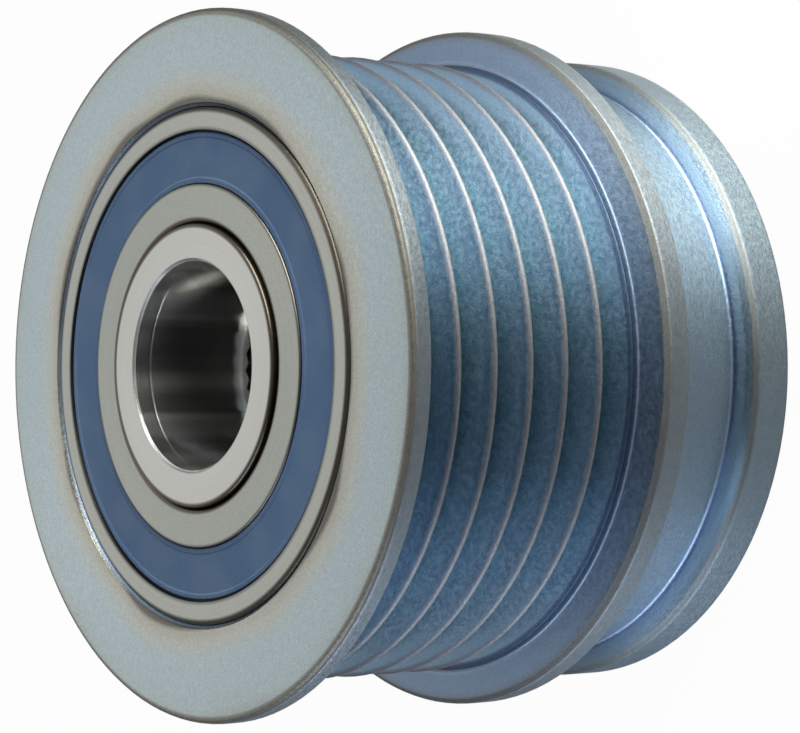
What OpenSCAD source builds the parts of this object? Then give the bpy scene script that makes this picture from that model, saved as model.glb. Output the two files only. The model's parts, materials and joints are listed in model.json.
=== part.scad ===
/* [Hub] */
// Diameter of the shaft, and of the plain bores at both ends of the hub
shaft_d = 17; // [16:0.1:18]
// Wall of the hub round the plain bores, out to the bearings and the clutch
hub_wall = 3; // [2.8:0.1:3.2]
// How far the hub stands out of the front flange face
front_proud = 0.3; // [0.1:0.1:2]
// How far the hub stands out of the rim's rear face
rear_proud = 0.5; // [0.2:0.1:2]
// Depth of the plain front bore, down to its shoulder
front_bore_l = 10.8; // [8:0.1:14]
// Length of the rear pilot bore
pilot_l = 9.5; // [6:0.1:14]
// How far the core of the threaded stretch stands in from the plain bores
thread_step = 1.25; // [1:0.05:1.75]
// Number of teeth of the driving profile behind the shoulder
drive_teeth = 33; // [24:1:36]
// Depth of one driving tooth
drive_tooth_h = 0.55; // [0.3:0.05:0.6]
// Length of the driving profile
drive_l = 6; // [4:0.5:8]
// Depth below the front face of the ring groove for a dust cap
cap_groove_depth = 1.6; // [1:0.1:3]
// Bevel at the mouths of the bores
bore_bevel = 0.2; // [0.1:0.05:0.4]

/* [Bearings] */
// Radial section of both bearings, from the hub to the rim's bore
bearing_section = 9.5; // [9.2:0.05:9.7]
// Width of each bearing
bearing_w = 9; // [8.6:0.1:10]
// Number of balls in each bearing
ball_count = 11; // [8:1:11]
// Thickness of the inner ring at its shoulders
inner_ring_wall = 3.22; // [2.9:0.01:3.4]
// Thickness of the outer ring at its shoulders
outer_ring_wall = 3.2; // [2.9:0.05:3.4]
// Thickness of the outer ring round the seal
seal_seat_wall = 1.9; // [1.8:0.05:2.2]
// Rounding of the rings where they are pressed on or in
ring_round = 0.5; // [0.2:0.05:0.6]
// How far the rear bearing lies inside the rim's rear face
rear_setback = 0.3; // [0:0.1:0.6]

/* [Seals] */
// Thickness of a seal
seal_t = 0.85; // [0.7:0.05:0.95]
// How far a seal lies below the ring faces
seal_setback = 0.15; // [0.1:0.05:0.2]
// How deep the seal's bead goes into the outer ring
seal_bead = 0.25; // [0.15:0.05:0.35]

/* [Ball cages] */
// Sheet thickness of a cage half
cage_sheet = 0.4; // [0.3:0.05:0.45]
// Gap between a cage and the seal beside it
cage_room = 0.27; // [0.2:0.01:0.4]
// Radial width of the cage strip
cage_strip = 1.9; // [1.6:0.1:2]
// Shank diameter of a cage rivet
rivet_d = 0.7; // [0.5:0.05:0.8]
// Head diameter of a cage rivet
rivet_head_d = 1.3; // [1:0.05:1.4]
// Height of a rivet head
rivet_head_h = 0.3; // [0.2:0.05:0.4]

/* [Clutch] */
// Wall of the clutch's outer ring
race_wall = 3.6; // [3.4:0.05:3.8]
// Roller diameter
roller_d = 3.6; // [3.4:0.05:3.7]
// Number of rollers
roller_count = 10; // [8:1:10]
// Length of the spacer between each bearing and the cam ring
spacer_l = 2.7; // [2.5:0.1:4]
// Slope of the ramps that the rollers climb, in degrees
ramp_angle = 4; // [3:0.5:6]
// Height of the cam ring's lands over the ramps
cam_land_h = 0.9; // [0.6:0.05:1]
// How far the rollers stop short of the cam ring's ends
roller_end_l = 1.5; // [1:0.1:3]
// Width left for a folded spring beside its roller
spring_w = 2.3; // [1.8:0.1:2.5]
// How far a spring stops short of its roller's ends
spring_end_l = 2.5; // [2:0.5:4]
// Number of folds in a spring
spring_folds = 5; // [3:2:5]
// Thickness of the spring strip
spring_t = 0.15; // [0.1:0.01:0.15]
// Thickness of a side plate
side_plate_t = 0.8; // [0.5:0.1:1]
// Wall of the spacers between the bearings and the cam ring
spacer_wall = 2; // [1.5:0.1:2.2]

/* [Rim] */
// Length of the rim from its rear face to the front flange face
rim_l = 40.7; // [39:0.1:44]
// Wall of the rim from its bore to the crests between the belt grooves
rim_wall = 4.9; // [4.8:0.1:9]
// Number of belt grooves
groove_count = 6; // [4:1:6]
// Distance from groove to groove
groove_pitch = 3.56; // [3.4:0.02:3.6]
// Angle between the two sides of a groove
groove_angle = 40; // [38:1:42]
// Rounding of the crests
crest_round = 0.25; // [0.2:0.05:0.35]
// Rounding of the groove bottoms
root_round = 0.5; // [0.4:0.05:0.5]
// Distance from the front flange face to the middle of the first groove
first_groove = 5.02; // [4.8:0.02:5.4]
// Height of the front and middle flanges over the crests
flange_h = 3; // [2:0.1:4]
// Width of the front flange at its edge
front_flange_w = 1.65; // [1.3:0.05:2]
// Width of the middle flange at its edge
middle_flange_w = 2.2; // [1.8:0.05:2.4]
// Distance from the middle of the last groove to the foot of the middle flange
flange_foot = 1.98; // [1.9:0.02:2.2]
// How far the middle flange's front face leans back, in degrees
front_face_angle = 13; // [8:1:16]
// How far the middle flange's back face leans, in degrees
back_face_angle = 14; // [5:1:16]
// How far the bottom of the rear groove lies below the crests
rear_floor_drop = 0.7; // [0.3:0.1:1.5]
// Height of the rear flange over the bottom of the rear groove
rear_flange_h = 1.9; // [1.5:0.1:3]
// Width of the rear flange at its edge
rear_flange_w = 3.7; // [3:0.1:4.2]
// How far the rear flange's front face leans, in degrees
rear_face_angle = 30; // [20:1:35]
// Rounding of the front edges of the front and middle flanges
flange_round = 0.6; // [0.3:0.05:0.7]
// Rounding of the rear flange's front edge
rear_round = 0.8; // [0.4:0.05:1]
// Bevel at both mouths of the rim's bore
rim_bevel = 0.3; // [0.2:0.05:0.5]

/* [Fits] */
// Radial gap of pieces that are pressed together
press_gap = 0.01; // [0.01:0.005:0.02]
// Gap between a ball or roller and its track
track_gap = 0.02; // [0.015:0.005:0.04]
// Gap round the balls in their cage pockets
pocket_gap = 0.08; // [0.05:0.01:0.12]
// Gap between a seal lip and the inner ring
lip_gap = 0.08; // [0.05:0.01:0.15]
// Gap between loose pieces of the clutch
clutch_gap = 0.1; // [0.05:0.01:0.15]

/* [Hidden] */
$fn = 96;

// Flat steps in each rounded corner of a profile
round_steps = 6;
// Reach of a cutting shape past the faces that it opens
cut_over = 1;

// Heights over the hub's rear end, where the part stands
rim_z0 = rear_proud;
rim_z1 = rim_z0 + rim_l;
hub_l = rim_z1 + front_proud;
front_bearing_z = rim_z1 - bearing_w;
rear_bearing_z = rim_z0 + rear_setback;
clutch_z0 = rear_bearing_z + bearing_w;
clutch_l = front_bearing_z - clutch_z0;
clutch_mid_z = clutch_z0 + clutch_l / 2;
cam_l = clutch_l - 2 * spacer_l;
roller_l = cam_l - 2 * roller_end_l;
spring_l = roller_l - 2 * spring_end_l;

// How far the tips of the driving teeth stay outside the thread's core
drive_tip_gap = 0.1;

// Radii of the hub and the bearings
bore_r = shaft_d / 2;
core_r = bore_r - thread_step;
hub_r = bore_r + hub_wall;
bearing_r = hub_r + bearing_section;
// The balls fill the width that the seals and the cages leave
ball_r = bearing_w / 2 - seal_setback - seal_t - cage_room - cage_sheet - pocket_gap;
ball_circle_r = (hub_r + bearing_r) / 2;
inner_bore_r = hub_r + press_gap;
inner_land_r = inner_bore_r + inner_ring_wall;
outer_rim_r = bearing_r - press_gap;
outer_land_r = outer_rim_r - outer_ring_wall;
seal_seat_r = outer_rim_r - seal_seat_wall;
// A track is a little rounder than its ball
track_r = 1.04 * ball_r;
track_shift = track_r - ball_r - track_gap;
inner_edge_round = 0.12;
seal_groove_l = seal_setback + seal_t + 2 * press_gap;
seal_mouth_l = 0.35;

// Ball cage
pocket_r = ball_r + pocket_gap;
cage_in_r = ball_circle_r - cage_strip / 2;
cage_out_r = ball_circle_r + cage_strip / 2;

// Clutch
race_out_r = outer_rim_r;
race_in_r = race_out_r - race_wall;
roller_r = roller_d / 2;
roller_circle_r = race_in_r - track_gap - roller_r;
ramp_r = roller_circle_r - roller_r - track_gap;
cam_land_r = ramp_r + cam_land_h;
roller_cage_in_r = cam_land_r + clutch_gap;
roller_cage_out_r = race_in_r - clutch_gap;
// A pocket is open from the stop behind the spring to the ramp's high end
pocket_low_y = -(roller_r + 2 * clutch_gap);
pocket_high_y = roller_r + clutch_gap + spring_w;
roller_cage_l = cam_l - 2 * clutch_gap;
window_l = roller_l + 2 * clutch_gap;
roller_bevel = 0.2;
plate_z = cam_l / 2 + 3 * clutch_gap;
plate_seat_r = race_in_r + 0.8;
spacer_out_r = inner_bore_r + spacer_wall;

// Rim
half_angle = groove_angle / 2;
crest_r = bearing_r + rim_wall;
crest_apex_r = crest_r + crest_round * (1 / sin(half_angle) - 1);
root_apex_r = crest_apex_r - groove_pitch / 2 / tan(half_angle);
flange_r = crest_r + flange_h;
floor_r = crest_r - rear_floor_drop;
rear_flange_r = floor_r + rear_flange_h;
foot_r = crest_r + 0.25;
foot_z = groove_z(groove_count - 1) - flange_foot;
middle_front_z = foot_z - (flange_r - foot_r) * tan(front_face_angle);
middle_back_z = middle_front_z - middle_flange_w;
rear_edge_z = rim_z0 + rear_flange_w;
// A narrow relief is turned between the last groove and the foot of the middle flange
relief_w = 0.4;
relief_h = 0.3;
back_edge_round = 0.15;
rear_back_round = 0.5;
groove_corner_round = 0.4;

// Height of the middle of belt groove k, counted from the front
function groove_z(k) = rim_z1 - first_groove - k * groove_pitch;

// Height of a groove side at radius r, on the side that sense gives
function side_z(k, r, sense) = groove_z(k) + sense * (r - root_apex_r) * tan(half_angle);

// One corner of a profile, given as [radius, height, rounding], as the points of its arc
function corner(before, here, after) =
    let (
        v = [here[0], here[1]],
        to_before = [before[0], before[1]] - v,
        to_after = [after[0], after[1]] - v,
        u = to_before / norm(to_before),
        w = to_after / norm(to_after),
        half = acos(u * w) / 2,
        centre = v + (u + w) / norm(u + w) * here[2] / sin(half),
        first = v + u * here[2] / tan(half) - centre,
        last = v + w * here[2] / tan(half) - centre,
        start = atan2(first[1], first[0]),
        turn = atan2(last[1], last[0]) - start,
        sweep = turn > 180 ? turn - 360 : turn < -180 ? turn + 360 : turn
    )
    [for (i = [0:round_steps]) centre + here[2] * [cos(start + sweep * i / round_steps),
                                                   sin(start + sweep * i / round_steps)]];

// A closed profile with its marked corners rounded
function rounded(path) =
    let (n = len(path))
    [for (i = [0:n - 1])
        each (path[i][2] > 0
            ? corner(path[(i + n - 1) % n], path[i], path[(i + 1) % n])
            : [[path[i][0], path[i][1]]])];

module turned(path) {
    rotate_extrude()
        polygon(rounded(path));
}

module ring(in_r, out_r, z, h) {
    translate([0, 0, z])
        difference() {
            cylinder(r = out_r, h = h);
            translate([0, 0, -cut_over])
                cylinder(r = in_r, h = h + 2 * cut_over);
        }
}

module around(count, phase = 0) {
    for (i = [0:count - 1])
        rotate([0, 0, phase + i * 360 / count])
            children();
}

// Pointed teeth of the driving profile, cut outward from just outside the thread's core
module drive_outline() {
    low_r = core_r + drive_tip_gap;
    high_r = core_r + drive_tooth_h;
    polygon([for (i = [0:2 * drive_teeth - 1])
        (i % 2 == 0 ? low_r : high_r) * [cos(i * 180 / drive_teeth), sin(i * 180 / drive_teeth)]]);
}

module hub_sleeve() {
    shoulder_z = hub_l - front_bore_l;
    cap_z = hub_l - cap_groove_depth;
    cap_groove_h = 0.03;
    cap_groove_w = 0.25;
    edge = 0.2;
    color([0.74, 0.74, 0.72])
        difference() {
            turned([
                [bore_r + bore_bevel, 0, 0],
                [hub_r, 0, edge],
                [hub_r, hub_l, edge],
                [bore_r + bore_bevel, hub_l, 0],
                [bore_r, hub_l - bore_bevel, 0],
                [bore_r, cap_z + cap_groove_w / 2, 0],
                [bore_r + cap_groove_h, cap_z, 0],
                [bore_r, cap_z - cap_groove_w / 2, 0],
                [bore_r, shoulder_z, 0],
                [core_r, shoulder_z, 0],
                [core_r, pilot_l + (bore_r - core_r), 0],
                [bore_r, pilot_l, 0],
                [bore_r, bore_bevel, 0]
            ]);
            translate([0, 0, shoulder_z - drive_l])
                linear_extrude(height = drive_l + cut_over)
                    drive_outline();
        }
}

module inner_ring(z) {
    color([0.60, 0.60, 0.58])
        translate([0, 0, z])
            difference() {
                turned([
                    [inner_bore_r, 0, ring_round],
                    [inner_land_r, 0, inner_edge_round],
                    [inner_land_r, bearing_w, inner_edge_round],
                    [inner_bore_r, bearing_w, ring_round]
                ]);
                translate([0, 0, bearing_w / 2])
                    rotate_extrude()
                        translate([ball_circle_r + track_shift, 0])
                            circle(r = track_r);
            }
}

module outer_ring(z) {
    groove_r = seal_seat_r + seal_bead;
    mouth_slope = 0.1;
    color([0.61, 0.62, 0.59])
        translate([0, 0, z])
            difference() {
                turned([
                    [outer_land_r, seal_groove_l, 0],
                    [groove_r, seal_groove_l, 0],
                    [groove_r, seal_mouth_l + mouth_slope, 0],
                    [seal_seat_r, seal_mouth_l, 0],
                    [seal_seat_r, 0, 0],
                    [outer_rim_r, 0, ring_round],
                    [outer_rim_r, bearing_w, ring_round],
                    [seal_seat_r, bearing_w, 0],
                    [seal_seat_r, bearing_w - seal_mouth_l, 0],
                    [groove_r, bearing_w - seal_mouth_l - mouth_slope, 0],
                    [groove_r, bearing_w - seal_groove_l, 0],
                    [outer_land_r, bearing_w - seal_groove_l, 0]
                ]);
                translate([0, 0, bearing_w / 2])
                    rotate_extrude()
                        translate([ball_circle_r - track_shift, 0])
                            circle(r = track_r);
            }
}

// A seal's outside faces the height z, up for sense 1 and down for sense -1
module seal(z, sense) {
    lip_r = inner_land_r + lip_gap;
    bead_r = seal_seat_r + seal_bead - press_gap;
    bead_low = seal_mouth_l + 0.15;
    face_r = seal_seat_r - 0.2;
    dish = 0.06;
    color([0.25, 0.32, 0.42])
        translate([0, 0, z])
            mirror([0, 0, sense > 0 ? 1 : 0])
                turned([
                    [lip_r, seal_setback, 0],
                    [lip_r + 0.35, seal_setback, 0],
                    [lip_r + 0.5, seal_setback + dish, 0],
                    [face_r - 0.5, seal_setback + dish, 0],
                    [face_r - 0.35, seal_setback, 0],
                    [face_r, seal_setback, 0.1],
                    [face_r, bead_low, 0],
                    [bead_r, bead_low, 0.1],
                    [bead_r, seal_setback + seal_t, 0.1],
                    [lip_r + 0.5, seal_setback + seal_t, 0.2],
                    [lip_r, seal_setback + seal_t / 2, 0]
                ]);
}

module balls(z) {
    color([0.78, 0.79, 0.80])
        around(ball_count)
            translate([ball_circle_r, 0, z + bearing_w / 2])
                sphere(r = ball_r);
}

// One stamped half of a ball cage: a flat strip with a bowl over every ball
module cage_half(z, sense) {
    color([0.70, 0.66, 0.55])
        translate([0, 0, z + bearing_w / 2])
            mirror([0, 0, sense > 0 ? 0 : 1])
                difference() {
                    intersection() {
                        ring(cage_in_r, cage_out_r, 0, 2 * ball_r);
                        union() {
                            ring(cage_in_r - cut_over, cage_out_r + cut_over, 0, cage_sheet);
                            around(ball_count)
                                translate([ball_circle_r, 0, 0])
                                    sphere(r = pocket_r + cage_sheet);
                        }
                    }
                    around(ball_count)
                        translate([ball_circle_r, 0, 0])
                            sphere(r = pocket_r);
                    around(ball_count, 180 / ball_count)
                        translate([ball_circle_r, 0, -cut_over])
                            cylinder(d = rivet_d + 2 * press_gap, h = cage_sheet + 2 * cut_over);
                }
}

module cage_rivets(z) {
    color([0.72, 0.72, 0.70])
        around(ball_count, 180 / ball_count)
            translate([ball_circle_r, 0, z + bearing_w / 2]) {
                translate([0, 0, -cage_sheet])
                    cylinder(d = rivet_d, h = 2 * cage_sheet);
                translate([0, 0, cage_sheet])
                    cylinder(d = rivet_head_d, h = rivet_head_h);
                translate([0, 0, -cage_sheet - rivet_head_h])
                    cylinder(d = rivet_head_d, h = rivet_head_h);
            }
}

module spacer(z) {
    color([0.55, 0.56, 0.57])
        ring(inner_bore_r, spacer_out_r, z, spacer_l);
}

// The ramps rise clockwise as seen from the front, so the rim grips the hub when it is driven that way
module cam_ring() {
    ramp = tan(ramp_angle);
    color([0.58, 0.59, 0.61])
        translate([0, 0, clutch_mid_z - cam_l / 2])
            linear_extrude(height = cam_l)
                difference() {
                    circle(r = cam_land_r);
                    circle(r = inner_bore_r);
                    around(roller_count)
                        polygon([
                            [ramp_r - ramp * pocket_low_y, pocket_low_y],
                            [cam_land_r + cut_over, pocket_low_y],
                            [cam_land_r + cut_over, pocket_high_y],
                            [ramp_r - ramp * pocket_high_y, pocket_high_y]
                        ]);
                }
}

module roller_cage() {
    color([0.16, 0.16, 0.15])
        difference() {
            ring(roller_cage_in_r, roller_cage_out_r, clutch_mid_z - roller_cage_l / 2, roller_cage_l);
            around(roller_count)
                translate([cam_land_r - cut_over, pocket_low_y, clutch_mid_z - window_l / 2])
                    cube([race_in_r - cam_land_r + 2 * cut_over, pocket_high_y - pocket_low_y, window_l]);
        }
}

module clutch_rollers() {
    color([0.80, 0.80, 0.81])
        around(roller_count)
            translate([roller_circle_r, 0, clutch_mid_z - roller_l / 2])
                turned([
                    [0, 0, 0],
                    [roller_r - roller_bevel, 0, 0],
                    [roller_r, roller_bevel, 0],
                    [roller_r, roller_l - roller_bevel, 0],
                    [roller_r - roller_bevel, roller_l, 0],
                    [0, roller_l, 0]
                ]);
}

// A strip folded to and fro between the roller and the stop behind it.
// Its straight legs run tangent to the bends, so their slope follows from the room for each fold.
module roller_springs() {
    low_r = roller_cage_in_r;
    // The far corner of the pocket is what comes closest to the clutch's outer ring
    high_r = sqrt(pow(roller_cage_out_r - clutch_gap, 2) - pow(pocket_high_y, 2));
    near_y = roller_r + spring_t;
    step_y = (pocket_high_y - clutch_gap - near_y) / spring_folds;
    bend_r = 0.35 * step_y;
    outer_bend_r = bend_r + spring_t / 2;
    inner_bend_r = bend_r - spring_t / 2;
    between = high_r - low_r - 2 * outer_bend_r;
    slope = atan2(step_y, between) - asin(2 * bend_r / norm([between, step_y]));
    half_strip = spring_t / 2 / sin(slope);
    reach = bend_r / sin(slope) - outer_bend_r;
    folds = [for (i = [0:spring_folds])
        i % 2 == 0 ? [low_r - reach, near_y + i * step_y] : [high_r + reach, near_y + i * step_y]];
    // Both ends stop short in the middle of a leg, cut square to it
    first = (folds[0] + folds[1]) / 2;
    last = (folds[spring_folds - 1] + folds[spring_folds]) / 2;
    square = spring_t / 2 * [-sin(slope), cos(slope)];
    high_side = [for (i = [1:spring_folds - 1])
        [folds[i][0] + half_strip, folds[i][1], i % 2 == 1 ? outer_bend_r : inner_bend_r]];
    low_side = [for (i = [spring_folds - 1:-1:1])
        [folds[i][0] - half_strip, folds[i][1], i % 2 == 1 ? inner_bend_r : outer_bend_r]];
    color([0.62, 0.64, 0.68])
        around(roller_count)
            translate([0, 0, clutch_mid_z - spring_l / 2])
                linear_extrude(height = spring_l)
                    polygon(rounded(concat(
                        [concat(first + square, 0), concat(first - square, 0)],
                        high_side,
                        [concat(last - square, 0), concat(last + square, 0)],
                        low_side
                    )));
}

module clutch_race() {
    end_gap = clutch_gap;
    z0 = clutch_z0 + end_gap;
    z1 = front_bearing_z - end_gap;
    low_seat_z = clutch_mid_z - plate_z;
    high_seat_z = clutch_mid_z + plate_z;
    color([0.56, 0.57, 0.59])
        turned([
            [plate_seat_r, z0, 0],
            [race_out_r, z0, ring_round],
            [race_out_r, z1, ring_round],
            [plate_seat_r, z1, 0],
            [plate_seat_r, high_seat_z, 0],
            [race_in_r, high_seat_z, 0],
            [race_in_r, low_seat_z, 0],
            [plate_seat_r, low_seat_z, 0]
        ]);
}

// A side plate rests on the step in the clutch's outer ring
module side_plate(z) {
    color([0.66, 0.66, 0.64])
        ring(spacer_out_r + 3 * clutch_gap, plate_seat_r - press_gap, z, side_plate_t);
}

module pulley_rim() {
    last = groove_count - 1;
    middle_foot_z = middle_back_z - (flange_r - floor_r) * tan(back_face_angle);
    rear_foot_z = rear_edge_z + (rear_flange_r - floor_r) * tan(rear_face_angle);
    shoulder_r = crest_r - 0.05;
    front_side_r = crest_r + 0.4;
    color([0.58, 0.63, 0.65])
        turned(concat(
            [
                [bearing_r, rim_z0 + rim_bevel, 0],
                [bearing_r + rim_bevel, rim_z0, 0],
                [rear_flange_r, rim_z0, rear_back_round],
                [rear_flange_r, rear_edge_z, rear_round],
                [floor_r, rear_foot_z, groove_corner_round],
                [floor_r, middle_foot_z, groove_corner_round],
                [flange_r, middle_back_z, back_edge_round],
                [flange_r, middle_front_z, flange_round],
                [foot_r, foot_z, 0.05],
                [foot_r - 0.08, foot_z + 0.06, 0],
                [shoulder_r - relief_h, foot_z + relief_w / 2, 0.05],
                [shoulder_r, side_z(last, shoulder_r, -1), 0.05]
            ],
            [for (k = [last:-1:0])
                each [
                    [root_apex_r, groove_z(k), root_round],
                    if (k > 0) [crest_apex_r, groove_z(k) + groove_pitch / 2, crest_round]
                ]
            ],
            [
                [front_side_r, side_z(0, front_side_r, 1), 0],
                [flange_r, rim_z1 - front_flange_w, back_edge_round],
                [flange_r, rim_z1, flange_round],
                [bearing_r + rim_bevel, rim_z1, 0],
                [bearing_r, rim_z1 - rim_bevel, 0]
            ]
        ));
}

hub_sleeve();
inner_ring(front_bearing_z);  // front_inner_ring
inner_ring(rear_bearing_z);  // rear_inner_ring
spacer(front_bearing_z - spacer_l);  // front_spacer
spacer(clutch_z0);  // rear_spacer
cam_ring();
roller_cage();
clutch_rollers();
roller_springs();
pulley_rim();
outer_ring(front_bearing_z);  // front_outer_ring
outer_ring(rear_bearing_z);  // rear_outer_ring
clutch_race();
side_plate(clutch_mid_z + plate_z);  // front_side_plate
side_plate(clutch_mid_z - plate_z - side_plate_t);  // rear_side_plate
seal(rim_z1, 1);  // front_outer_seal
seal(front_bearing_z, -1);  // front_inner_seal
seal(rear_bearing_z, -1);  // rear_outer_seal
seal(clutch_z0, 1);  // rear_inner_seal
cage_half(front_bearing_z, 1);  // front_cage_upper
cage_half(front_bearing_z, -1);  // front_cage_lower
cage_rivets(front_bearing_z);  // front_cage_rivets
balls(front_bearing_z);  // front_balls
cage_half(rear_bearing_z, 1);  // rear_cage_upper
cage_half(rear_bearing_z, -1);  // rear_cage_lower
cage_rivets(rear_bearing_z);  // rear_cage_rivets
balls(rear_bearing_z);  // rear_balls
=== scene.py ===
import json
import math

import bpy
from mathutils import Matrix, Vector


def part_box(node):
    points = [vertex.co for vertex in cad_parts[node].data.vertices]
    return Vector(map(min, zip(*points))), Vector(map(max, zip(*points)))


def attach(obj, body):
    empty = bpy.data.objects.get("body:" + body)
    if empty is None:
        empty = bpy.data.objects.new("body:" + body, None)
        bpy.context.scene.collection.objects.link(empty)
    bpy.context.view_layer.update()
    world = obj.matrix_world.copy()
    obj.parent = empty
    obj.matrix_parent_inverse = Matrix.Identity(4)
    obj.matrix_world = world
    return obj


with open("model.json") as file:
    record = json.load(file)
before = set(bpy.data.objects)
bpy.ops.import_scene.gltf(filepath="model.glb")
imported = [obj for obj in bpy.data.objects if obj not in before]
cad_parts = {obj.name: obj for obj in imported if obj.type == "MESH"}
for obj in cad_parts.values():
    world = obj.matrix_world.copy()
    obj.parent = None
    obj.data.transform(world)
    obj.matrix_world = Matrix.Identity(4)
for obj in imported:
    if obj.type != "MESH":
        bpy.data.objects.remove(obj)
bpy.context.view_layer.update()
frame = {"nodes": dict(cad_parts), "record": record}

MM = 0.001

# Camera, worked out from the circles in the photograph
EYE_MM = (-0.966, -193.707, 170.105)
SIGHT = Vector((0.00427, 0.79057, -0.61236))
UP = Vector((1, 0, 0.00697))
LENS = 129.10

# Brightness of the room's bright wall and of its dark side, where 1 is white
BACK_WALL = 1.08
DARK_SIDE = 0.42
# Share of it that is left close to the horizon
LOW_WALL = 0.13
# How much of the room's light reaches matt surfaces
DIFFUSE_SHARE = 0.35

# Where the rim's finishes change, in millimetres. A pair fades from its first value to its second, and two
# pairs fade a finish in and out again. The height of the rim's front face comes from its solid.
FACE_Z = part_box("pulley_rim")[1][2] / MM
FACE_START = (FACE_Z - 0.30, FACE_Z - 0.04)
EDGE_START = (FACE_Z - 0.7, FACE_Z - 0.4)
REAR_SIDE_END = (13.0, 14.2)
FRONT_FLANGE_START = (37.2, 37.6)
GROOVES_Z = ((16.30, 16.42), FRONT_FLANGE_START)
RELIEF_Z = ((16.0, 16.1), (16.82, 17.12))
RELIEF_R = ((25.3, 25.5), (25.92, 26.05))
CREST_R = ((25.45, 25.75), (26.0, 26.3))
FACE_EDGE_R = ((28.15, 28.4), (28.70, 28.88))
FLANGE_ROUND_R = ((28.3, 28.6), (28.82, 28.9))
REAR_FACE_R = ((25.28, 25.4), (26.4, 26.8))
REAR_ROUND_R = ((26.7, 26.9), (27.0, 27.08))

# The plating's colours by radius: the least and greatest radius, then each stop's radius and screen colour
# On the face, the dark first stop is painted shade at the face's inner edge beside the bearing
FACE_COLOURS = (21.0, 29.0, (
    (21.2, (96, 94, 88)), (21.6, (158, 157, 147)), (22.6, (166, 169, 162)), (24.0, (159, 171, 175)),
    (26.2, (157, 170, 175)), (27.6, (157, 168, 169)), (28.8, (147, 155, 154))))
GROOVE_COLOURS = (21.0, 29.0, (
    (23.0, (107, 137, 152)), (24.0, (128, 156, 173)), (24.9, (132, 158, 180)), (25.5, (119, 145, 167)),
    (25.74, (116, 122, 134)), (25.865, (112, 112, 118)), (25.885, (136, 142, 146)), (26.2, (124, 146, 172))))
# Its light stop at 26.1 is a painted highlight line on the middle flange, just past the relief
FLANGE_COLOURS = (25.0, 29.0, (
    (25.3, (124, 146, 174)), (25.95, (124, 144, 170)), (26.1, (160, 174, 190)), (26.3, (116, 136, 158)),
    (27.8, (118, 136, 157)), (28.3, (114, 127, 142)), (28.55, (110, 113, 114)), (28.82, (106, 107, 107)),
    (28.9, (138, 149, 158))))
# Its dark stop at 25.32 is painted shade in the corner between the wide groove's floor and the rear flange
REAR_COLOURS = (24.8, 29.0, (
    (25.24, (138, 158, 175)), (25.32, (72, 88, 122)), (25.6, (94, 115, 137)), (26.5, (108, 128, 145)),
    (26.85, (108, 113, 116)), (27.0, (106, 109, 109)), (27.09, (138, 154, 166)), (28.3, (112, 120, 126)),
    (28.82, (106, 107, 107)), (28.9, (138, 149, 158))))
# Painted shade in the relief at the foot of the middle flange
RELIEF_SHADE_COLOUR = (72, 89, 114)
EDGE_COLOUR = (112, 108, 100)

# Painted light and shade: how much lighter the plating is painted with each millimetre away from the eye, and
# how much darker the outside of the front flange is painted with each millimetre towards +X
PAINTED_LIGHT_BY_Y = 0.0022
PAINTED_SHADE_BY_X = 0.014
# What wear adds to the roughness of the roundings, and what shelter takes off it between the flanges
WORN_ROUGHNESS = 0.36
SHELTERED_ROUGHNESS = -0.03


def linear(red, green, blue):
    """A colour given as it looks on a screen, 0 to 255, as the shader's linear colour"""
    return tuple((c / 255 / 12.92) if c <= 10 else ((c / 255 + 0.055) / 1.055) ** 2.4
                 for c in (red, green, blue)) + (1.0,)


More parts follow.
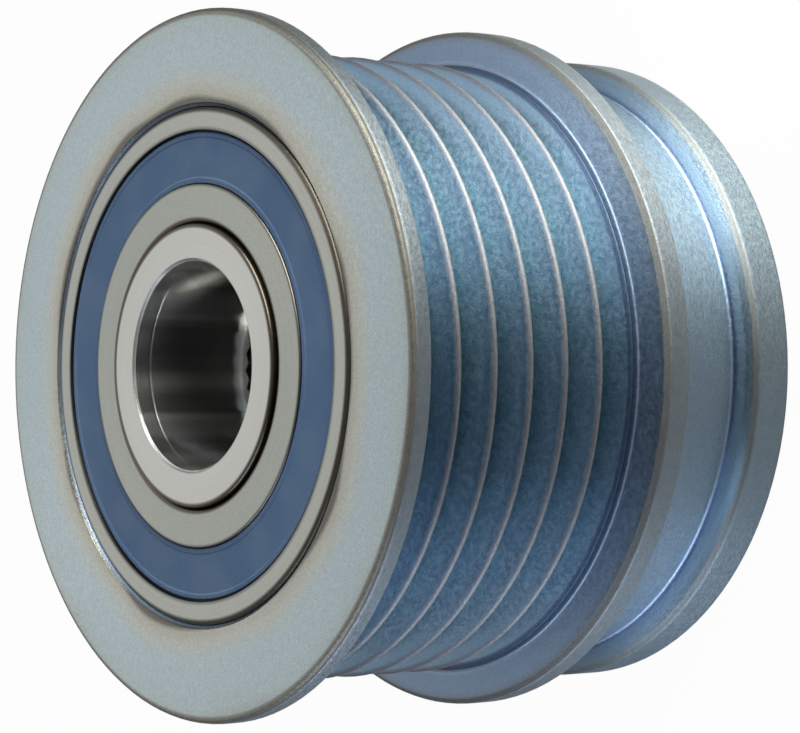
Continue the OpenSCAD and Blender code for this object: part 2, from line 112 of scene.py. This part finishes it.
class Shader:
    """One material's nodes. Values may be numbers or the outputs of other nodes."""

    def __init__(self, name, **fixed):
        self.material = bpy.data.materials.new(name)
        self.material.use_nodes = True
        self.nodes = self.material.node_tree.nodes
        self.links = self.material.node_tree.links
        self.bsdf = self.nodes["Principled BSDF"]
        for socket, value in fixed.items():
            self.bsdf.inputs[socket.replace("_", " ")].default_value = value

    def put(self, value, socket):
        if isinstance(value, bpy.types.NodeSocket):
            self.links.new(value, socket)
        else:
            socket.default_value = value

    def math(self, operation, first, second=0.0, third=0.0):
        node = self.nodes.new("ShaderNodeMath")
        node.operation = operation
        for value, socket in zip((first, second, third), node.inputs):
            self.put(value, socket)
        return node.outputs[0]

    def mix(self, share, first, second):
        node = self.nodes.new("ShaderNodeMix")
        node.data_type = "RGBA"
        self.put(share, node.inputs[0])
        self.put(first, node.inputs[6])
        self.put(second, node.inputs[7])
        return node.outputs[2]

    def mix_value(self, share, first, second):
        """From first to second as share goes from 0 to 1"""
        return self.math("MULTIPLY_ADD", share, self.math("SUBTRACT", second, first), first)

    def scaled(self, colour, factor):
        node = self.nodes.new("ShaderNodeVectorMath")
        node.operation = "SCALE"
        self.put(colour[:3] if isinstance(colour, tuple) else colour, node.inputs[0])
        self.put(factor, node.inputs["Scale"])
        return node.outputs[0]

    def step(self, value, low, high, from_value=0.0, to_value=1.0):
        """Rises smoothly from from_value to to_value as value goes from low to high"""
        node = self.nodes.new("ShaderNodeMapRange")
        node.interpolation_type = "SMOOTHSTEP"
        for amount, socket in zip((value, low, high, from_value, to_value), node.inputs):
            self.put(amount, socket)
        return node.outputs[0]

    def band(self, value, rise, fall):
        """1 between rise and fall, two pairs of values over which it fades in and out"""
        return self.math("MULTIPLY", self.step(value, *rise), self.step(value, *fall, 1.0, 0.0))

    def ramp(self, value, low, high, stops):
        """A colour that follows value through stops, each a value from low to high and its screen colour"""
        share = self.nodes.new("ShaderNodeMapRange")
        self.put(value, share.inputs["Value"])
        share.inputs["From Min"].default_value = low
        share.inputs["From Max"].default_value = high
        node = self.nodes.new("ShaderNodeValToRGB")
        self.links.new(share.outputs[0], node.inputs[0])
        elements = node.color_ramp.elements
        while len(elements) < len(stops):
            elements.new(0.5)
        for element, (at, colour) in zip(elements, stops):
            element.position = (at - low) / (high - low)
            element.color = linear(*colour)
        return node.outputs[0]

    def place(self):
        """The point on the object in millimetres, and its radius and height"""
        coordinates = self.nodes.new("ShaderNodeTexCoord").outputs["Object"]
        point = self.scaled(coordinates, 1 / MM)
        parts = self.nodes.new("ShaderNodeSeparateXYZ")
        self.links.new(point, parts.inputs[0])
        x, y, z = parts.outputs
        radius = self.math("SQRT", self.math("ADD", self.math("MULTIPLY", x, x), self.math("MULTIPLY", y, y)))
        return point, x, y, radius, z

    def vector(self, x, y, z):
        node = self.nodes.new("ShaderNodeCombineXYZ")
        for value, socket in zip((x, y, z), node.inputs):
            self.put(value, socket)
        return node.outputs[0]

    def noise(self, vector, scale, detail=2.0, roughness=0.5):
        node = self.nodes.new("ShaderNodeTexNoise")
        self.put(vector, node.inputs["Vector"])
        node.inputs["Scale"].default_value = scale
        node.inputs["Detail"].default_value = detail
        node.inputs["Roughness"].default_value = roughness
        return node.outputs[0]

    def bump(self, height, strength, distance):
        node = self.nodes.new("ShaderNodeBump")
        node.inputs["Strength"].default_value = strength
        node.inputs["Distance"].default_value = distance
        self.put(height, node.inputs["Height"])
        self.links.new(node.outputs[0], self.bsdf.inputs["Normal"])

    def set(self, socket, value):
        self.put(value, self.bsdf.inputs[socket])

    def lathe_tangent(self):
        node = self.nodes.new("ShaderNodeTangent")
        node.direction_type = "RADIAL"
        node.axis = "Z"
        self.links.new(node.outputs[0], self.bsdf.inputs["Tangent"])

    def turning_lines(self, x, y, radius, z, pitch_mm):
        """Fine rings round the axis, which fade in and out a little along their length"""
        drift = 0.6
        safe = self.math("MAXIMUM", radius, 0.5)
        lines = self.vector(
            self.math("ADD", self.math("MULTIPLY", radius, 1 / pitch_mm),
                      self.math("MULTIPLY", self.math("DIVIDE", x, safe), drift)),
            self.math("MULTIPLY", self.math("DIVIDE", y, safe), drift),
            self.math("MULTIPLY", z, 1 / pitch_mm))
        return self.noise(lines, 1.0, 3.0, 0.6)


def zinc(name):
    """Zinc plate on turned steel: blue where it lies deep, cream and tan towards the edges, finely grained,
    with painted shade in the relief, in the corner of the wide groove and at the face's inner edge, a painted
    highlight line on the middle flange, and painted light and shade across the rim towards +Y and +X
    """
    s = Shader(name, Metallic=1.0, Anisotropic=0.65, Anisotropic_Rotation=0.25)
    point, x, y, radius, z = s.place()
    s.lathe_tangent()

    is_low = s.step(z, *REAR_SIDE_END, 1.0, 0.0)
    is_face = s.step(z, *FACE_START)
    is_side = s.math("SUBTRACT", 1.0, is_face)
    is_edge = s.math("MULTIPLY", s.band(radius, *FACE_EDGE_R), s.step(z, *EDGE_START))
    is_grooved = s.band(z, *GROOVES_Z)
    painted_relief_shade = s.math("MULTIPLY", s.band(radius, *RELIEF_R), s.band(z, *RELIEF_Z))

    cloud = s.noise(s.scaled(point, 0.08), 1.0, 1.0, 0.5)
    wander = s.math("MULTIPLY", s.math("SUBTRACT", cloud, 0.5), 2.4)
    face = s.ramp(s.math("ADD", radius, wander), *FACE_COLOURS)
    side = s.mix(is_grooved, s.ramp(radius, *FLANGE_COLOURS), s.ramp(radius, *GROOVE_COLOURS))
    colour = s.mix(is_low, side, s.ramp(radius, *REAR_COLOURS))
    # painted shade in the relief
    colour = s.mix(painted_relief_shade, colour, linear(*RELIEF_SHADE_COLOUR))
    colour = s.mix(is_face, colour, face)
    colour = s.mix(s.math("MULTIPLY", is_edge, 0.8), colour, linear(*EDGE_COLOUR))

    grain = s.noise(point, 5.6, 3.0, 0.7)
    fleck = s.noise(s.vector(x, y, s.math("MULTIPLY", z, 2.0)), 2.2, 2.0, 0.55)
    lightness = s.math("ADD", s.step(grain, 0.30, 0.72, 0.90, 1.11), s.step(fleck, 0.3, 0.7, -0.04, 0.04))
    # painted light and shade: the plating lighter towards +Y, away from the eye, and the outside of the front
    # flange darker towards +X
    is_front_band = s.math("MULTIPLY", s.step(z, *FRONT_FLANGE_START), is_side)
    painted_shade_toward_x = s.math("MULTIPLY", s.math("MAXIMUM", x, 0.0), is_front_band)
    painted_light_and_shade = s.math("MULTIPLY_ADD", painted_shade_toward_x, -PAINTED_SHADE_BY_X, s.math("MULTIPLY_ADD", y, PAINTED_LIGHT_BY_Y, 1.0))
    s.set("Base Color", s.scaled(colour, s.math("MULTIPLY", lightness, painted_light_and_shade)))

    crest = s.math("MULTIPLY", s.band(radius, *CREST_R), 0.5)
    rear_round = s.math("MULTIPLY", s.math("MULTIPLY", s.band(radius, *REAR_ROUND_R), 0.5), is_low)
    worn = s.math("MAXIMUM", s.math("MAXIMUM", crest, s.band(radius, *FLANGE_ROUND_R)), rear_round)
    worn = s.math("MULTIPLY", worn, is_side)
    sheltered = s.math("MAXIMUM", s.math("MULTIPLY", is_low, s.band(radius, *REAR_FACE_R)), is_grooved)
    rough = s.mix_value(is_face, s.step(fleck, 0.25, 0.75, 0.36, 0.46), s.step(fleck, 0.25, 0.75, 0.23, 0.30))
    rough = s.math("MULTIPLY_ADD", worn, WORN_ROUGHNESS, rough)
    s.set("Roughness", s.math("MULTIPLY_ADD", sheltered, SHELTERED_ROUGHNESS, rough))
    s.bump(s.math("ADD", grain, fleck), 0.42, 0.00004)
    return s.material


def ground_steel(name):
    """Ground bearing steel, satin and finely speckled, with painted shade where the rings are rounded or face
    a gap
    """
    s = Shader(name, Metallic=1.0, Anisotropic=0.3, Anisotropic_Rotation=0.25)
    point, x, y, radius, z = s.place()
    s.lathe_tangent()
    lines = s.turning_lines(x, y, radius, z, 0.10)
    speck = s.noise(point, 7.0, 3.0, 0.7)
    # The dark stops are painted shade at the rings' roundings and beside the gaps to the hub and the seals
    tint = s.ramp(radius, 11.4, 21.1, (
        (11.9, (86, 81, 72)), (12.1, (152, 154, 148)), (14.45, (152, 154, 148)), (14.66, (84, 82, 78)),
        (17.0, (150, 150, 145)), (19.0, (60, 58, 54)), (19.4, (158, 160, 153)), (20.4, (158, 160, 153)),
        (20.65, (70, 66, 60))))
    lightness = s.math("ADD", s.step(speck, 0.3, 0.7, 0.92, 1.09), s.step(lines, 0.3, 0.7, -0.04, 0.04))
    s.set("Base Color", s.scaled(tint, lightness))
    s.set("Roughness", s.step(speck, 0.3, 0.7, 0.30, 0.40))
    s.bump(s.math("ADD", lines, speck), 0.15, 0.00002)
    return s.material


def hub_steel(name):
    """Turned hub: bright ground end faces and a dark glossy bore, with painted reflection streaks down the
    bore and painted shade at the shoulder deep in the bore and on the outer edge beside the inner ring
    """
    s = Shader(name, Metallic=1.0, Anisotropic=0.3, Anisotropic_Rotation=0.25)
    point, x, y, radius, z = s.place()
    s.lathe_tangent()
    lines = s.turning_lines(x, y, radius, z, 0.10)
    speck = s.noise(point, 6.0, 3.0, 0.7)
    # The dark stops at 8.0 and from 11.2 outwards are painted shade, deep in the bore and on the outer edge
    # beside the inner ring
    tint = s.ramp(radius, 7.0, 12.0, (
        (8.0, (150, 150, 148)), (8.44, (196, 196, 195)), (8.52, (200, 201, 201)), (8.66, (150, 150, 146)),
        (8.8, (182, 182, 177)), (11.08, (180, 180, 175)),
        (11.2, (118, 113, 104)), (11.32, (76, 72, 65)), (11.5, (62, 58, 52))))
    inside = s.step(radius, 8.55, 8.66, 1.0, 0.0)
    lightness = s.math("ADD", s.step(speck, 0.3, 0.7, 0.94, 1.06), s.step(lines, 0.3, 0.7, -0.03, 0.03))
    # painted reflection bands, the same all the way down the bore, so they run along the axis; they also vary
    # the bore's roughness
    streaks_and_painted_reflections = s.noise(s.vector(s.math("MULTIPLY", x, 0.42), s.math("MULTIPLY", y, 0.42), 3.1), 1.0, 2.0, 0.5)
    lightness = s.mix_value(inside, lightness, s.step(streaks_and_painted_reflections, 0.35, 0.65, 0.9, 1.1))
    s.set("Base Color", s.scaled(tint, lightness))
    rough_outside, rough_inside = s.step(speck, 0.3, 0.7, 0.28, 0.36), s.step(streaks_and_painted_reflections, 0.35, 0.65, 0.20, 0.27)
    s.set("Roughness", s.mix_value(inside, rough_outside, rough_inside))
    s.bump(s.math("MULTIPLY", s.math("ADD", lines, speck), s.math("SUBTRACT", 1.0, inside)), 0.12, 0.00002)
    return s.material


def rubber(name):
    """Moulded blue-grey seal rubber, matt, with a fine even grain"""
    s = Shader(name, Metallic=0.0, Specular_IOR_Level=0.2)
    point = s.place()[0]
    grain = s.noise(point, 9.0, 3.0, 0.7)
    cloud = s.noise(point, 0.25, 2.0)
    colour = s.mix(s.step(cloud, 0.35, 0.65), linear(53, 73, 101), linear(60, 79, 104))
    s.set("Base Color", s.scaled(colour, s.step(grain, 0.3, 0.7, 0.84, 1.18)))
    s.set("Roughness", s.step(grain, 0.3, 0.7, 0.50, 0.66))
    s.bump(grain, 0.5, 0.00004)
    return s.material


def plain_steel(name, tint, rough, grain_scale):
    """Hardened or rolled steel of the pieces inside"""
    s = Shader(name, Metallic=1.0)
    point = s.place()[0]
    grain = s.noise(point, grain_scale, 3.0, 0.6)
    s.set("Base Color", s.scaled(linear(*tint), s.step(grain, 0.3, 0.7, 0.88, 1.1)))
    s.set("Roughness", s.step(grain, 0.3, 0.7, rough - 0.05, rough + 0.07))
    s.bump(grain, 0.15, 0.00002)
    return s.material


def polyamide(name):
    """Dark glass-filled polyamide of the roller cage"""
    s = Shader(name, Metallic=0.0)
    point = s.place()[0]
    grain = s.noise(point, 4.0, 4.0, 0.6)
    s.set("Base Color", s.scaled(linear(44, 44, 42), s.step(grain, 0.3, 0.7, 0.8, 1.25)))
    s.set("Roughness", s.step(grain, 0.3, 0.7, 0.38, 0.55))
    s.bump(grain, 0.3, 0.00004)
    return s.material


FINISHES = {
    "zinc_plate": zinc("zinc_plate_finish"),
    "ground_steel": ground_steel("ground_steel_finish"),
    "turned_steel": hub_steel("turned_steel_finish"),
    "seal_rubber": rubber("seal_rubber_finish"),
    "polished_steel": plain_steel("polished_steel_finish", (205, 205, 206), 0.10, 2.0),
    "cage_sheet": plain_steel("cage_sheet_finish", (170, 168, 160), 0.30, 5.0),
    "dark_polyamide": polyamide("dark_polyamide_finish"),
    "hardened_steel": plain_steel("hardened_steel_finish", (140, 141, 143), 0.28, 3.0),
    "spring_steel": plain_steel("spring_steel_finish", (150, 152, 158), 0.22, 4.0),
}


def dress_nodes():
    """Gives each solid the finish of its slot in the record"""
    slots = {part["node"]: part["material_slot"] for part in frame["record"]["subparts"]}
    for node, solid in frame["nodes"].items():
        solid.data.materials.clear()
        solid.data.materials.append(FINISHES[slots[node]])


def hub_thread():
    """The thread inside the hub: one ridge that winds up the wall of the threaded core"""
    core_z = (10.75, 24.7)
    wall_r, crest_r, pitch, half_base, steps = 7.32, 7.06, 1.5, 0.55, 60
    turns = (core_z[1] - core_z[0] - 2 * half_base) / pitch
    count = int(turns * steps)
    verts, faces = [], []
    for i in range(count + 1):
        angle = 2 * math.pi * i / steps
        z = core_z[0] + half_base + pitch * i / steps
        for radius, rise in ((wall_r, -half_base), (crest_r, -0.08), (crest_r, 0.08), (wall_r, half_base)):
            verts.append((radius * math.cos(angle) * MM, radius * math.sin(angle) * MM, (z + rise) * MM))
    for i in range(count):
        a, b = 4 * i, 4 * i + 4
        for k in range(3):
            faces.append((a + k, b + k, b + k + 1, a + k + 1))
        faces.append((a + 3, b + 3, b, a))
    faces.append((0, 1, 2, 3))
    faces.append((4 * count + 3, 4 * count + 2, 4 * count + 1, 4 * count))
    mesh = bpy.data.meshes.new("hub_thread")
    mesh.from_pydata(verts, [], faces)
    mesh.validate()
    ridge = bpy.data.objects.new("hub_thread", mesh)
    bpy.context.scene.collection.objects.link(ridge)
    mesh.materials.append(FINISHES["turned_steel"])
    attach(ridge, "hub")


def studio_floor():
    """A pale floor that is white to the camera, shows mostly its lit paint to mirror-like rays, and still
    keeps a shadow
    """
    half, drop = 3.0, 0.00002
    mesh = bpy.data.meshes.new("studio_floor")
    corners = [(-half, -half, 0), (half, -half, 0), (half, half, 0), (-half, half, 0)]
    mesh.from_pydata(corners, [], [(0, 1, 2, 3)])
    floor = bpy.data.objects.new("studio_floor", mesh)
    floor.location.z = -drop
    bpy.context.scene.collection.objects.link(floor)
    material = bpy.data.materials.new("studio_floor_paint")
    material.use_nodes = True
    nodes = material.node_tree.nodes
    links = material.node_tree.links
    paint = nodes["Principled BSDF"]
    paint.inputs["Base Color"].default_value = (0.25, 0.25, 0.25, 1)
    paint.inputs["Roughness"].default_value = 0.8
    paint.inputs["Specular IOR Level"].default_value = 0.2
    glow = nodes.new("ShaderNodeEmission")
    glow.inputs["Strength"].default_value = 1.0
    rays = nodes.new("ShaderNodeLightPath")
    share = 0.0
    for ray, weight in (("Is Camera Ray", 0.97), ("Is Glossy Ray", 0.06), ("Is Transmission Ray", 0.94)):
        part = nodes.new("ShaderNodeMath")
        part.operation = "MULTIPLY_ADD"
        links.new(rays.outputs[ray], part.inputs[0])
        part.inputs[1].default_value = weight
        if isinstance(share, float):
            part.inputs[2].default_value = share
        else:
            links.new(share, part.inputs[2])
        share = part.outputs[0]
    blend = nodes.new("ShaderNodeMixShader")
    links.new(share, blend.inputs[0])
    links.new(paint.outputs[0], blend.inputs[1])
    links.new(glow.outputs[0], blend.inputs[2])
    links.new(blend.outputs[0], nodes["Material Output"].inputs["Surface"])
    mesh.materials.append(material)


def studio_air():
    """A white background, and for the metal to show a room that is bright behind and dim by the camera"""
    world = bpy.data.worlds.new("studio_air")
    bpy.context.scene.world = world
    world.use_nodes = True
    nodes = world.node_tree.nodes
    links = world.node_tree.links
    background = nodes["Background"]
    direction = nodes.new("ShaderNodeTexCoord").outputs["Generated"]

    def fade(toward, low, high, from_value, to_value):
        along = nodes.new("ShaderNodeVectorMath")
        along.operation = "DOT_PRODUCT"
        links.new(direction, along.inputs[0])
        along.inputs[1].default_value = toward
        node = nodes.new("ShaderNodeMapRange")
        node.interpolation_type = "SMOOTHSTEP"
        links.new(along.outputs["Value"], node.inputs[0])
        for value, socket in zip((low, high, from_value, to_value), node.inputs[1:5]):
            socket.default_value = value
        return node.outputs[0]

    above_horizon = fade((0, 0, 1), 0.0, 0.4, LOW_WALL, 1.0)
    back_wall = fade((0.35, 0.82, 0.45), 0.2, 1.02, DARK_SIDE, BACK_WALL)

    def combined(operation, first, second):
        node = nodes.new("ShaderNodeMath")
        node.operation = operation
        links.new(first, node.inputs[0])
        if isinstance(second, float):
            node.inputs[1].default_value = second
        else:
            links.new(second, node.inputs[1])
        return node.outputs[0]

    rays = nodes.new("ShaderNodeLightPath").outputs
    reflected = combined("MAXIMUM", rays["Is Glossy Ray"], rays["Is Transmission Ray"])
    reach = combined("MAXIMUM", reflected, DIFFUSE_SHARE)
    level = combined("MULTIPLY", above_horizon, back_wall)
    strength = combined("MAXIMUM", combined("MULTIPLY", level, reach), rays["Is Camera Ray"])
    links.new(strength, background.inputs["Strength"])
    background.inputs["Color"].default_value = (1, 1, 1, 1)


def toward(azimuth, elevation):
    """The direction of a lamp. Azimuth 0 is the camera's side, 90 is +X."""
    turn, rise = math.radians(azimuth), math.radians(elevation)
    return Vector((math.sin(turn) * math.cos(rise), -math.cos(turn) * math.cos(rise), math.sin(rise)))


def hang(name, data, aim, away, distance):
    """Hangs a lamp at a distance from its aim and turns it towards it"""
    lamp = bpy.data.objects.new(name, data)
    lamp.location = aim + away * distance
    lamp.rotation_euler = (-away).to_track_quat("-Z", "Y").to_euler()
    bpy.context.scene.collection.objects.link(lamp)


def softbox(name, azimuth, elevation, distance, width, height, power, colour):
    """An area lamp that looks at the pulley's middle"""
    data = bpy.data.lights.new(name, "AREA")
    data.shape = "RECTANGLE"
    data.size = width
    data.size_y = height
    data.energy = power
    data.color = colour
    hang(name, data, Vector((0, 0, 0.02)), toward(azimuth, elevation), distance)


def pool(name, aim, azimuth, elevation, distance, cone, power, colour):
    """A soft spot of light on the floor beside the pulley, which its upright surfaces reflect"""
    data = bpy.data.lights.new(name, "SPOT")
    data.energy = power
    data.color = colour
    data.spot_size = math.radians(cone)
    data.spot_blend = 1.0
    data.shadow_soft_size = 0.01
    hang(name, data, Vector((aim[0], aim[1], 0)), toward(azimuth, elevation), distance)


def camera():
    data = bpy.data.cameras.new("camera")
    data.lens = LENS
    data.sensor_width = 36
    data.clip_start = 0.005
    eye = bpy.data.objects.new("camera", data)
    back = -SIGHT.normalized()
    right = UP.cross(back).normalized()
    turn = Matrix((right, back.cross(right), back)).transposed()
    eye.matrix_world = Matrix.Translation(Vector(EYE_MM) * MM) @ turn.to_4x4()
    bpy.context.scene.collection.objects.link(eye)
    bpy.context.scene.camera = eye


camera()
hub_thread()
studio_floor()
studio_air()
softbox("key_softbox", 62, 18, 0.8, 0.80, 0.50, 24, (1.0, 0.985, 0.88))
softbox("fill_softbox", -80, 14, 0.8, 0.80, 0.36, 6.2, (0.76, 0.86, 1.0))
softbox("top_softbox", 115, 50, 0.9, 0.40, 0.40, 0.8, (1, 1, 1))
pool("key_pool", (0.044, -0.028), 57, 60, 0.5, 7.0, 30.0, (1.0, 0.99, 0.95))
pool("fill_pool", (-0.042, -0.037), -48, 60, 0.5, 8.0, 8.5, (0.66, 0.82, 1.0))
dress_nodes()

bpy.context.scene.view_settings.view_transform = "Standard"
